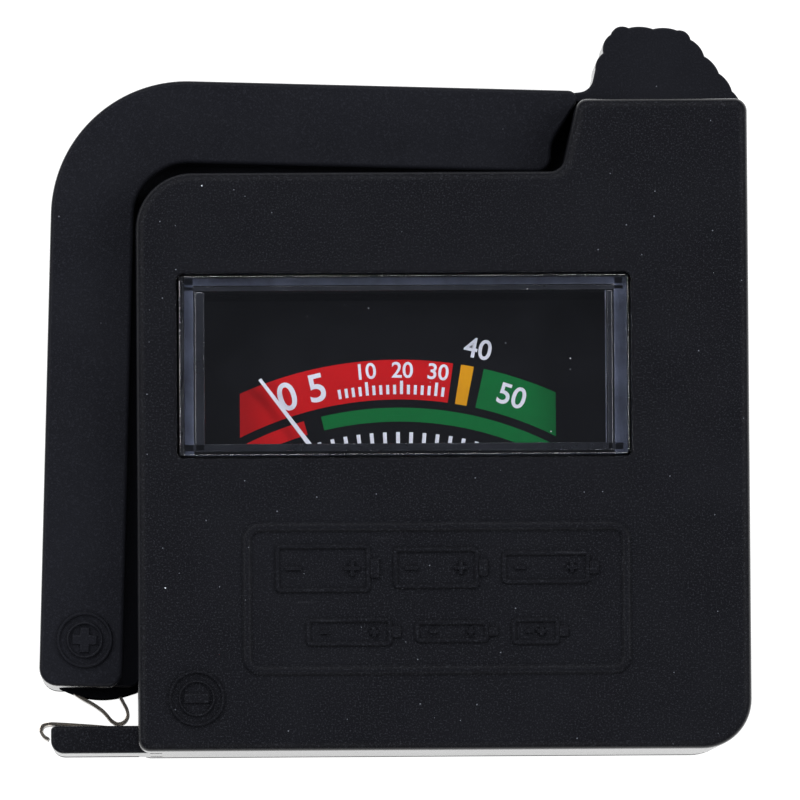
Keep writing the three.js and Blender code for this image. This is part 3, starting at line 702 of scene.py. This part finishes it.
def ring_mark(body, x, y, base):
    """Two thin moulded rings, one inside the other."""
    for radius, width in ((2.42, 0.34), (1.58, 0.26)):
        body.ridge(lambda inset: circle(x, y, radius - inset, 40), width, base, RIDGE + 0.04)


def bar_mark(body, x, y, half_length, half_width, base):
    high = (x + half_length, y + half_width, base + RIDGE)
    body.block((x - half_length, y - half_width, base), high, half_width * 0.3)


def cross_mark(body, x, y, reach, half_width, base):
    def at(inset):
        return cross_outline(x, y, reach - inset, half_width - inset)

    body.slab(at, base, base + RIDGE, 0, half_width * 0.3)


def cell_mark(body, left, middle, length, width, base):
    """The outline of a cell lying on its side, its end button and its two signs."""

    def at(inset):
        half = width / 2
        low, high = middle - half + inset, middle + half - inset
        return rectangle(left + inset, low, left + length - inset, high, 0.5 - inset)

    body.ridge(at, 0.5, base, RIDGE)
    button = width * 0.2
    end = left + length
    body.block((end - 0.1, middle - button, base), (end + 0.7, middle + button, base + RIDGE), 0.12)
    sign = width * 0.16
    bar_mark(body, left + 1.6, middle, sign, 0.16, base)
    cross_mark(body, left + length - 1.6, middle, sign, 0.16, base)


def lip_outline(inset):
    right = CHAMBER_LEFT + 0.05
    left = -LIP_LENGTH + inset
    top = LIP_HEIGHT - inset
    return outline(
        [
            (left, inset, 1.1 - inset, 10),
            (right, inset, 0, 1),
            (right, top, 0, 1),
            (left, top, 0.4 - inset, 6),
        ]
    )


def window_outline(inset):
    reach = 0.15 + inset
    left, bottom = LENS_LOW.x - CORNER_X - reach, WINDOW_BOTTOM - reach
    right, top = LENS_HIGH.x - CORNER_X + reach, LENS_HIGH.y - CORNER_Y + reach
    return rectangle(left, bottom, right, top, 0.5 + inset, 5)


def cover_shell(body, rim, face, hole_at=None, wells=()):
    """A dished shell from its open rim to its face, with a window hole or screw wells in the face."""
    out = math.copysign(1, face - rim)
    outer = [(0.12, rim), (0, rim + 0.12 * out)]
    for step in range(ROUND_STEPS + 2):
        angle = math.pi / 2 * step / (ROUND_STEPS + 1)
        outer.append((EDGE * (1 - math.cos(angle)), face - out * EDGE * (1 - math.sin(angle))))
    inner = [(WALL, face - out * PLATE), (WALL, rim)]
    outside = body.stack(case_outline, outer)
    inside = body.stack(case_outline, inner)
    body.bridge(outside[0], inside[-1])
    mouths = [body.well(x, y, radius, face, floor) for x, y, radius, floor in wells]
    inside_face = face - out * PLATE
    collars = [body.ring(circle(x, y, radius + 0.3, 32), inside_face) for x, y, radius, floor in wells]
    if hole_at is not None:
        hole = [(0.3, face), (0.08, face - out * 0.08), (0, face - out * 0.3), (0, face - out * PLATE)]
        rings = body.stack(hole_at, hole)
        mouths.append(rings[0])
        collars.append(rings[-1])
    body.cap(outside[-1], *mouths)
    body.cap(inside[0], *collars)


LABEL_LOW = (8.8, 6.3)
LABEL_HIGH = (41.9, 19.4)
MINUS_MARK = (4.97, 4.47)
PLUS_MARK = (-47.2, -41.8)
# Left end, middle height, length and width of each cell in the label frame.
CELLS = [
    (11.6, 15.4, 8.2, 4.2),
    (21.6, 15.4, 7.4, 3.6),
    (30.8, 15.4, 7.6, 2.9),
    (14.2, 10.0, 7.4, 2.5),
    (23.4, 10.0, 6.4, 2.0),
    (31.6, 10.0, 4.2, 2.4),
]


def front_cover():
    body = Body()
    cover_shell(body, SLOT_FRONT, CASE_FRONT, window_outline)
    inner = CASE_FRONT - PLATE + 0.1
    low = PARTING + PARTING_GAP
    body.tube(chamber_outline, lambda inset: chamber_outline(CHAMBER_WALL + inset), low, SLOT_FRONT, 0.05)
    body.tube(
        lambda inset: chamber_outline(0.3 + inset),
        lambda inset: chamber_outline(CHAMBER_WALL + inset),
        SLOT_FRONT - 0.1,
        inner,
    )
    body.slab(lip_outline, low, LIP_FRONT, 0.05, 0.35)
    body.block((0.02, 2.9, low), (WALL, 3.7, SLOT_FRONT + 0.2))
    pin_x, pin_y = PIVOT.x - CORNER_X, PIVOT.y - CORNER_Y
    body.tube(
        lambda inset: circle(pin_x, pin_y, 2.2 - inset),
        lambda inset: circle(pin_x, pin_y, PIN_RADIUS + 0.1 - inset),
        13.4,
        inner,
    )
    base = CASE_FRONT - 0.05

    def label_outline(inset):
        left, bottom = (low + inset for low in LABEL_LOW)
        right, top = (high - inset for high in LABEL_HIGH)
        return rectangle(left, bottom, right, top, 1.6 - inset)

    body.ridge(label_outline, 0.95, base, RIDGE + 0.03)
    for left, middle, length, width in CELLS:
        cell_mark(body, left, middle, length, width, base)
    ring_mark(body, *MINUS_MARK, base)
    bar_mark(body, *MINUS_MARK, 1.05, 0.42, base)
    cover = body.finish("front_case_shell", case_place())
    return dress(cover, "case", "root", "case", "front_cover")


SCREWS = [(8, 42.2), (48.5, 39.2), (12, 3.8), (45.5, 3.8)]
JAW_SCREWS = [(-47.4, -20), (-25, 2.4)]
WELL_RADIUS = 1.8
CASE_SEAT = 7.0
JAW_SEAT = 6.5


def back_cover():
    body = Body()
    wells = [(x, y, WELL_RADIUS, CASE_SEAT) for x, y in SCREWS]
    cover_shell(body, SLOT_BACK, 0.0, wells=wells)
    high = PARTING - PARTING_GAP
    body.tube(chamber_outline, lambda inset: chamber_outline(CHAMBER_WALL + inset), SLOT_BACK, high, 0.05)
    body.tube(
        lambda inset: chamber_outline(0.3 + inset),
        lambda inset: chamber_outline(CHAMBER_WALL + inset),
        PLATE - 0.1,
        SLOT_BACK + 0.1,
    )
    body.slab(lip_outline, LIP_BACK, high, 0.35, 0.05)
    body.block((0.02, 2.9, SLOT_BACK - 0.2), (WALL, 3.7, high))
    body.post(PIVOT.x - CORNER_X, PIVOT.y - CORNER_Y, 3.2, PLATE - 0.1, SLOT_BACK, 0.1)
    for x, y in SCREWS:
        body.tube(
            lambda inset: circle(x, y, 2.3 - inset),
            lambda inset: circle(x, y, WELL_RADIUS + 0.05 - inset),
            PLATE - 0.1,
            CASE_SEAT + 0.1,
        )
        body.post(x, y, 2.3, CASE_SEAT + 0.05, high)
    cover = body.finish("back_case_shell", case_place())
    return dress(cover, "case", "root", "case", "back_cover")


def screw_body(x, y, seat):
    body = Body()
    body.recessed_head(x, y, 1.6, seat - 1, seat)
    body.post(x, y, 0.8, seat - 0.1, seat + 10, 0.1, 20)
    return body


def screws():
    for kind, spots, seat, place, rides in (
        ("case_screw", SCREWS, CASE_SEAT, case_place(), "root"),
        ("arm_screw", JAW_SCREWS, JAW_SEAT, jaw_place(), "arm"),
    ):
        for number, (x, y) in enumerate(spots, 1):
            node = f"{kind}_{number}"
            piece = screw_body(x, y, seat - 0.05).finish(node + "_head", place)
            dress(piece, "steel", rides, "steel", node)


def snap_contacts():
    for node in ("contact_9v_minus", "contact_9v_plus"):
        low, high = (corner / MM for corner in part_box(node))
        body = Body()
        face = high.x - 0.65
        body.block((face, low.y, PARTING - 1.9), (high.x, high.y, PARTING + 1.9), 0.15)
        middle = (low.y + high.y) / 2
        body.block((low.x, middle - 0.9, PARTING - 0.3), (face + 0.1, middle + 0.9, PARTING + 0.3), 0.05)
        piece = body.finish(node + "_plate", Matrix())
        dress(piece, "nickel", "root", "nickel", node)


def minus_contact():
    over = LIP_HEIGHT - 0.15
    line = [
        (-7.7, 1.35),
        (-8.08, 1.6),
        (-8.33, 2.05),
        (-8.2, over + 0.28),
        (-7.65, over + 0.45),
        (-6.6, over + 0.42),
        (-4, over + 0.24),
        (-1.6, over + 0.06),
        (3, over),
        (5.2, over),
    ]
    body = Body()
    low, high = PARTING - 2.8, PARTING + 2.8
    body.slab(lambda inset: strip_outline(line, 0.28 - 2 * inset), low, high, 0.04, 0.04)
    piece = body.finish("minus_contact_strip", case_place())
    dress(piece, "nickel", "root", "nickel", "minus_contact")


# Jaw.


def jaw_half(parting, core, face, hub, wells=()):
    """Half of the jaw, from the parting plane out to the faces of its core and of its raised part."""
    body = Body()
    front = face > parting
    low, high = sorted((parting, face))
    edges = (0.05, JAW_EDGE) if front else (JAW_EDGE, 0.05)
    body.slab(jaw_raised_outline, low, high, *edges, wells=wells)
    low, high = sorted((parting, core))
    edges = (0.05, 0.2) if front else (0.2, 0.05)
    body.slab(jaw_core_outline, low, high, *edges)
    body.slab(tab_outline, low, high, *edges)
    low, high = sorted((parting, hub))
    body.tube(
        lambda inset: circle(0, 0, HUB_RADIUS - inset),
        lambda inset: circle(0, 0, PIN_RADIUS + 0.08 - inset),
        low,
        high,
    )
    return body


def jaw_front():
    body = jaw_half(PARTING + PARTING_GAP, CORE_FRONT, JAW_FRONT, 13.0)
    base = JAW_FRONT - 0.05
    ring_mark(body, *PLUS_MARK, base)
    cross_mark(body, *PLUS_MARK, 1.05, 0.4, base)
    piece = body.finish("arm_front_half", jaw_place())
    return dress(piece, "jaw", "arm", "jaw", "arm_front_shell")


def jaw_back():
    wells = [(x, y, WELL_RADIUS, JAW_SEAT) for x, y in JAW_SCREWS]
    body = jaw_half(PARTING - PARTING_GAP, CORE_BACK, JAW_BACK, CORE_BACK, wells)
    piece = body.finish("arm_back_half", jaw_place())
    return dress(piece, "jaw", "arm", "jaw", "arm_back_shell")


def jaw_mouth():
    body = Body()
    body.slab(belly_outline, PARTING - BELLY_REACH, PARTING + BELLY_REACH, 0.05, 0.05)
    dress(body.finish("jaw_mouth", jaw_place()), "jaw_matt", "arm", "jaw")


def plus_contact():
    line = [
        (-48.25, -44.4),
        (-48.3, -45.1),
        (-48.1, -46),
        (-47.45, -46.5),
        (-46.45, -47.03),
        (-45.65, -47.55),
        (-45.2, -47.98),
        (-44.8, -48.42),
        (-44.25, -48.69),
        (-43.7, -48.5),
        (-43.42, -47.98),
        (-43.52, -47.4),
        (-43.85, -46.8),
        (-44.15, -46.1),
        (-44.2, -44.4),
    ]
    body = Body()
    low, high = PARTING - 2, PARTING + 2
    body.slab(lambda inset: strip_outline(line, 0.28 - 2 * inset), low, high, 0.04, 0.04)
    piece = body.finish("plus_contact_leaf", jaw_place())
    dress(piece, "nickel", "plus_spring", "nickel", "plus_contact")


# Meter.


def lens():
    """The meter's clear cover: a pane, its side walls, pale strips of painted glints along the walls, and a skirt.
    """
    left, right = LENS_LOW.x - CORNER_X, LENS_HIGH.x - CORNER_X
    top = LENS_HIGH.y - CORNER_Y
    bottom, skirt_bottom = WINDOW_BOTTOM, LENS_LOW.y - CORNER_Y
    back, front, skirt_front = LENS_LOW.z, LENS_HIGH.z, 20.0
    wall = 1.3
    under = front - 1.32

    def box_at(inset):
        return rectangle(left + inset, bottom + inset, right - inset, top - inset, 0.4 - inset, 5)

    plate = Body()
    plate.slab(box_at, front - 1.3, front, 0.0, 0.16)
    dress(plate.finish("window_pane", case_place()), "clear", "root", "clear")

    walls = Body()
    walls.block((left, bottom, back + 3.4), (left + 0.4, top, under), 0.06)
    walls.block((left + 1.35, bottom + 0.4, back + 0.5), (left + 2.2, top - wall, under), 0.1)
    walls.block((right - 1.85, bottom + 0.4, back + 0.5), (right - 1.35, top - wall, under), 0.1)
    walls.block((left + 0.42, top - 1.25, back + 3.4), (right - 0.42, top - 0.85, under), 0.06)

    def skirt_at(inset):
        return rectangle(left + inset, skirt_bottom + inset, right - inset, bottom + 1.1 - inset, 0.3, 5)

    walls.slab(skirt_at, skirt_front - 1.2, skirt_front, 0.05, 0.15)
    walls.block((left + 0.45, bottom + 0.4, skirt_front + 0.1), (right - 0.45, bottom + 1.05, under), 0.05)
    dress(walls.finish("window_walls", case_place()), "clear_dark", "root", "clear", "window_lens")

    # Pale strips just under the pane along the walls: painted glints of light on the window walls.
    edges = Body()
    edges.block((left + 0.45, bottom + 0.1, under - 2.5), (left + 1.28, top - 0.05, under), 0.08)
    edges.block((right - 1.25, bottom + 0.1, under - 2.5), (right - 0.1, top - 0.1, under), 0.08)
    edges.block((left + 0.45, top - 0.8, under - 2.0), (right - 0.45, top - 0.12, under), 0.08)
    edges.block((right - 2.0, bottom + 0.75, under - 1.0), (right - 1.9, top - 1.3, under), 0.03)
    edges.block((left + 0.45, bottom + 0.02, under - 0.3), (right - 0.45, bottom + 0.1, under), 0.02)
    dress(edges.finish("window_painted_glints", case_place()), "clear_painted_glint", "root", "clear")


ARC_X = 22.3
ARC_Y = 0.25
BAND_HALF_WIDTH = 13.5
OUTER_BAND = (29.9, 33.3)
INNER_BAND = (28.0, 29.2)
PRINT_Z = 0.03


def arc_band(name, look, radii, start, end):
    """A printed band between two radii, from angle start to end, or to the vertical cut where None."""
    inner, outer = radii
    rows = 40

    def clipped(radius, degrees):
        if degrees is None:
            return math.asin(BAND_HALF_WIDTH / radius)
        return math.radians(abs(degrees))

    points = []
    for radius, order in ((outer, 1), (inner, -1)):
        low = -clipped(radius, start) if start is None or start < 0 else clipped(radius, start)
        high = clipped(radius, end) if end is None or end > 0 else -clipped(radius, end)
        angles = [low + (high - low) * i / rows for i in range(rows + 1)][::order]
        points += [Vector((ARC_X + radius * math.sin(a), ARC_Y + radius * math.cos(a))) for a in angles]
    body = Body()
    lower = body.ring(points, DIAL_HIGH.z)
    upper = body.ring(points, DIAL_HIGH.z + PRINT_Z)
    body.bridge(lower, upper)
    body.cap(lower)
    body.cap(upper)
    return dress(body.finish(name, case_place()), look, "root", "dial")


def radial_tick(body, degrees, inner, outer, half_width):
    """A thin printed stroke that points away from the bands' centre."""
    angle = math.radians(degrees)
    side = Vector((math.cos(angle), -math.sin(angle)))
    out = Vector((math.sin(angle), math.cos(angle)))
    centre = Vector((ARC_X, ARC_Y))
    corners = [(-half_width, inner), (half_width, inner), (half_width, outer), (-half_width, outer)]
    points = [centre + side * x + out * y for x, y in corners]
    lower = body.ring(points, DIAL_HIGH.z + PRINT_Z)
    upper = body.ring(points, DIAL_HIGH.z + 2 * PRINT_Z)
    body.bridge(lower, upper)
    body.cap(lower)
    body.cap(upper)


def dial_number(text, degrees, radius, height):
    curve = bpy.data.curves.new("number_" + text, "FONT")
    curve.body = text
    curve.size = height * MM * 1.4
    curve.align_x = "CENTER"
    curve.align_y = "CENTER"
    curve.extrude = 0.01 * MM
    curve.offset = 0.02 * height * MM
    made = bpy.data.objects.new("number_" + text, curve)
    bpy.context.scene.collection.objects.link(made)
    bpy.context.view_layer.update()
    mesh = bpy.data.meshes.new_from_object(made.evaluated_get(bpy.context.evaluated_depsgraph_get()))
    bpy.data.objects.remove(made)
    angle = math.radians(degrees)
    x = CORNER_X + ARC_X + radius * math.sin(angle)
    y = CORNER_Y + ARC_Y + radius * math.cos(angle)
    z = DIAL_HIGH.z + PRINT_Z * 1.6
    mesh.transform(Matrix.Translation((x * MM, y * MM, z * MM)) @ Matrix.Rotation(-angle, 4, "Z"))
    return dress(make_object("dial_number_" + text, mesh), "white", "root", "dial")


def dial():
    low, high = DIAL_LOW, DIAL_HIGH
    notch = 7.5
    body = Body()
    start = math.asin((low.y - METER.y) / notch)
    arc = [math.pi - start - (math.pi - 2 * start) * i / 24 for i in range(25)]
    points = [Vector((low.x, low.y))]
    points += [Vector((METER.x + notch * math.cos(a), METER.y + notch * math.sin(a))) for a in arc]
    points += [Vector((high.x, low.y)), Vector((high.x, high.y)), Vector((low.x, high.y))]
    lower = body.ring(points, low.z)
    upper = body.ring(points, high.z)
    body.bridge(lower, upper)
    body.cap(lower)
    body.cap(upper)
    dress(body.finish("dial_face", Matrix()), "dial", "root", "dial", "dial_plate")
    arc_band("band_low", "red", OUTER_BAND, None, 8.2)
    arc_band("band_middle", "yellow", OUTER_BAND, 9.4, 11.3)
    arc_band("band_good", "green", OUTER_BAND, 12.8, None)
    arc_band("small_band_low", "red", INNER_BAND, None, -16)
    arc_band("small_band_good", "green", INNER_BAND, -13, None)
    middle = sum(OUTER_BAND) / 2
    for text, degrees, radius, height in (
        ("0", -17.4, middle - 0.1, 2.4),
        ("5", -12.6, middle - 0.05, 2.4),
        ("10", -4.9, middle + 0.75, 1.35),
        ("20", 0.7, middle + 0.75, 1.35),
        ("30", 6.1, middle + 0.75, 1.35),
        ("40", 11.4, 34.8, 1.7),
        ("50", 17.9, middle, 1.8),
    ):
        dial_number(text, degrees, radius, height)
    ticks = Body()
    for i in range(16):
        reach = 0.1 if i % 5 == 4 else 0.45
        radial_tick(ticks, -9.3 + i * 1.1, middle - 1.25, middle - reach, 0.13)
    for i in range(-9, 11):
        radial_tick(ticks, i * 2.4, 25.6 if i % 2 else 25.1, 27.1, 0.16)
    dress(ticks.finish("dial_ticks", case_place()), "white", "root", "dial")


def needle():
    low, high, rise = 15.6, 18.15, 4.2
    length = 19.6
    body = Body()
    half = 0.15
    profile = [(-3.6, low), (rise - 0.1, low), (rise + 0.3, high), (length, high)]
    rings = []
    for along, z in profile:
        width = 0.24 if along < length else 0.14
        section = [(-width, z - half), (width, z - half), (width, z + half), (-width, z + half)]
        rings.append([body.bm.verts.new((x, along, height)) for x, height in section])
    for first, second in zip(rings, rings[1:]):
        body.bridge(first, second)
    body.bm.faces.new(rings[0])
    body.bm.faces.new(rings[-1])
    body.tube(
        lambda inset: circle(0, 0, 1.3 - inset, 24),
        lambda inset: circle(0, 0, 0.42 - inset, 24),
        low - half,
        low + half,
        0.03,
    )
    body.post(0, -3.8, 0.8, low - half, low + half, 0.04, 20)
    piece = body.finish("pointer", needle_place())
    dress(piece, "white", "movement", "needle", "needle")


def paint_cad_nodes():
    """The pieces whose CAD shape stays get their detailed materials."""
    for part in frame["record"]["subparts"]:
        obj = frame["nodes"][part["node"]]
        slot = part["material_slot"]
        look = "white" if slot == "needle" else slot
        obj.data.materials.clear()
        obj.data.materials.append(LOOKS[look])


# Stage.


FLOOR_DROP = -0.0002
FLOOR_GLOW = 0.96
LAMP_SIZE = 0.5


def studio():
    """A glowing white table, a dim room, and soft lamps low on all sides."""
    mesh = bpy.data.meshes.new("floor")
    half = 1.5
    corners = [(-half, -half, FLOOR_DROP), (half, -half, FLOOR_DROP)]
    corners += [(half, half, FLOOR_DROP), (-half, half, FLOOR_DROP)]
    mesh.from_pydata(corners, [], [(0, 1, 2, 3)])
    floor = bpy.data.objects.new("floor", mesh)
    bpy.context.scene.collection.objects.link(floor)
    look = bpy.data.materials.new("floor_white")
    look.use_nodes = True
    shader = look.node_tree.nodes["Principled BSDF"]
    shader.inputs["Base Color"].default_value = (0.08, 0.08, 0.08, 1)
    shader.inputs["Roughness"].default_value = 0.7
    shader.inputs["Emission Color"].default_value = (1, 1, 1, 1)
    shader.inputs["Emission Strength"].default_value = FLOOR_GLOW
    mesh.materials.append(look)
    world = bpy.data.worlds.new("studio")
    bpy.context.scene.world = world
    world.use_nodes = True
    world.node_tree.nodes["Background"].inputs["Color"].default_value = (0.85, 0.9, 1, 1)
    world.node_tree.nodes["Background"].inputs["Strength"].default_value = 0.12
    for name, place, power in (
        ("left", (-0.62, 0.2, 0.55), 10.5),
        ("right", (0.65, 0.15, 0.55), 10.5),
        ("top", (-0.1, 0.68, 0.6), 10.5),
        ("bottom", (0.1, -0.66, 0.5), 7.0),
    ):
        light = bpy.data.lights.new(name, "AREA")
        light.size = LAMP_SIZE
        light.energy = power
        lamp = bpy.data.objects.new(name, light)
        lamp.location = place
        lamp.rotation_mode = "QUATERNION"
        lamp.rotation_quaternion = (-Vector(place)).to_track_quat("-Z", "Y")
        bpy.context.scene.collection.objects.link(lamp)


CAMERA_DISTANCE = 900.0
VIEW_WIDTH = 67.8
CAMERA_TILT = math.radians(3.3)
CAMERA_YAW = math.radians(1.2)
CAMERA_ROLL = math.radians(0.37)
AIM = Vector((22.33 + CORNER_X, 29.66 + CORNER_Y, CASE_FRONT))


def camera():
    data = bpy.data.cameras.new("camera")
    data.sensor_width = 36.0
    data.lens = data.sensor_width * CAMERA_DISTANCE / VIEW_WIDTH
    data.clip_start = 0.05
    data.clip_end = 20
    cam = bpy.data.objects.new("camera", data)
    turn = Matrix.Rotation(-CAMERA_YAW, 4, "Y") @ Matrix.Rotation(CAMERA_TILT, 4, "X")
    roll = Matrix.Rotation(-CAMERA_ROLL, 4, "Z")
    away = turn @ Vector((0, 0, CAMERA_DISTANCE))
    cam.matrix_world = Matrix.Translation((AIM + away) * MM) @ turn @ roll
    bpy.context.scene.collection.objects.link(cam)
    bpy.context.scene.camera = cam


camera()
paint_cad_nodes()
front_cover()
back_cover()
screws()
snap_contacts()
minus_contact()
jaw_front()
jaw_back()
jaw_mouth()
plus_contact()
lens()
dial()
needle()
studio()
bpy.context.scene.view_settings.view_transform = "Standard"
